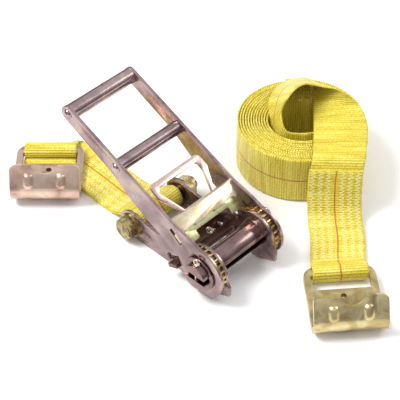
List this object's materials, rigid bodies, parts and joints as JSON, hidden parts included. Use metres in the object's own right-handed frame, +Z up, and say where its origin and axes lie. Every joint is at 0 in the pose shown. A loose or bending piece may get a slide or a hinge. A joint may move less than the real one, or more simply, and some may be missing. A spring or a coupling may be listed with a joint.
{
  "type": "ratchet tie down",
  "caption": "Ratchet tie down: a ratchet buckle with a short fixed strap and flat hook, and a rolled long strap of yellow webbing with its own flat hook.",
  "frame": {"origin": "centre of the base of the whole part's box, on the ground it lies on", "axes": "+X along the ratchet spindle, towards the rolled strap; +Y from the spindle towards the grip; +Z up"},
  "size_m": [0.2979, 0.3998, 0.1174],
  "materials": {
    "zinc_pink": "yellow chromate on bright zinc, pinkish and satin",
    "zinc_bright": "pale straw chromate on bright zinc",
    "zinc_dark": "brown chromate on zinc, in the shade of the frame",
    "zinc_pull": "pale pink chromate on zinc",
    "zinc_hook_pink": "rosy chromate on a pressed hook",
    "zinc_hook_cream": "cream chromate on a pressed hook",
    "webbing": "woven polyester webbing, yellow with a red tracer thread"
  },
  "bodies": {
    "frame": {"frame_plate_left": "zinc_pink", "frame_plate_right": "zinc_pink", "frame_cross_plate": "zinc_dark", "anchor_bolt": "zinc_bright", "anchor_nut": "zinc_bright", "anchor_washers": "zinc_bright", "anchor_sleeve": "zinc_dark", "lock_spring_left": "zinc_bright", "lock_spring_right": "zinc_bright"},
    "spindle": {"mandrel_half_upper": "zinc_pink", "mandrel_half_lower": "zinc_pink", "ratchet_wheel_left_inner": "zinc_bright", "ratchet_wheel_left_outer": "zinc_bright", "ratchet_wheel_right_inner": "zinc_bright", "ratchet_wheel_right_outer": "zinc_bright", "end_washer_left": "zinc_bright", "end_washer_right": "zinc_bright", "cotter_pin_left": "zinc_bright", "cotter_pin_right": "zinc_bright"},
    "handle": {"handle_plate_left": "zinc_pink", "handle_plate_right": "zinc_pink", "grip_tube": "zinc_pink", "grip_rivet": "zinc_pink", "crossbar_tube": "zinc_pink", "crossbar_rivet": "zinc_pink", "spring_cover": "zinc_bright", "drive_spring_left": "zinc_bright", "drive_spring_right": "zinc_bright"},
    "drive_pawl": {"drive_pawl": "zinc_bright", "finger_pull": "zinc_pull"},
    "lock_pawl": {"lock_pawl": "zinc_dark"},
    "short_strap": {"short_strap": "webbing"},
    "short_hook": {"short_strap_hook": "zinc_hook_pink"},
    "long_strap": {"long_strap_roll": "webbing", "long_strap_tail": "webbing"},
    "long_hook": {"long_strap_hook": "zinc_hook_cream"}
  },
  "joints": [
    {"name": "spindle_turn", "type": "hinge", "parent": "frame", "child": "spindle", "pos_m": [-0.0658, -0.0518, 0.027], "axis": [1, 0, 0], "continuous": true},
    {"name": "handle_swing", "type": "hinge", "parent": "frame", "child": "handle", "pos_m": [-0.0658, -0.0518, 0.027], "axis": [1, 0, 0], "range_deg": [-15, 135]},
    {"name": "drive_pawl_pull", "type": "slide", "parent": "handle", "child": "drive_pawl", "axis": [0, 0.788, 0.6157], "range_m": [0, 0.0038], "stiffness_N_per_m": 900, "springref_m": -0.004, "deforming": ["drive_spring_left", "drive_spring_right"]},
    {"name": "lock_pawl_pull", "type": "slide", "parent": "frame", "child": "lock_pawl", "axis": [0, 0.9272, -0.3746], "range_m": [0, 0.005], "stiffness_N_per_m": 900, "springref_m": -0.004, "deforming": ["lock_spring_left", "lock_spring_right"]},
    {"name": "short_strap_swing", "type": "hinge", "parent": "frame", "child": "short_strap", "pos_m": [-0.0658, 0.04338, 0.0145], "axis": [1, 0, 0], "range_deg": [0, 25]},
    {"name": "short_hook_swing", "type": "hinge", "parent": "short_strap", "child": "short_hook", "pos_m": [-0.0763, 0.1762, 0.0085], "axis": [-0.6947, 0.7193, 0], "range_deg": [0, 60]},
    {"name": "long_strap_lift", "type": "slide", "parent": "frame", "child": "long_strap", "axis": [0, 0, 1], "range_m": [0, 0.06]},
    {"name": "long_hook_swing", "type": "hinge", "parent": "long_strap", "child": "long_hook", "pos_m": [-0.0078, -0.1258, 0.0083], "axis": [-0.7547, 0.6561, 0], "range_deg": [0, 60]}
  ]
}
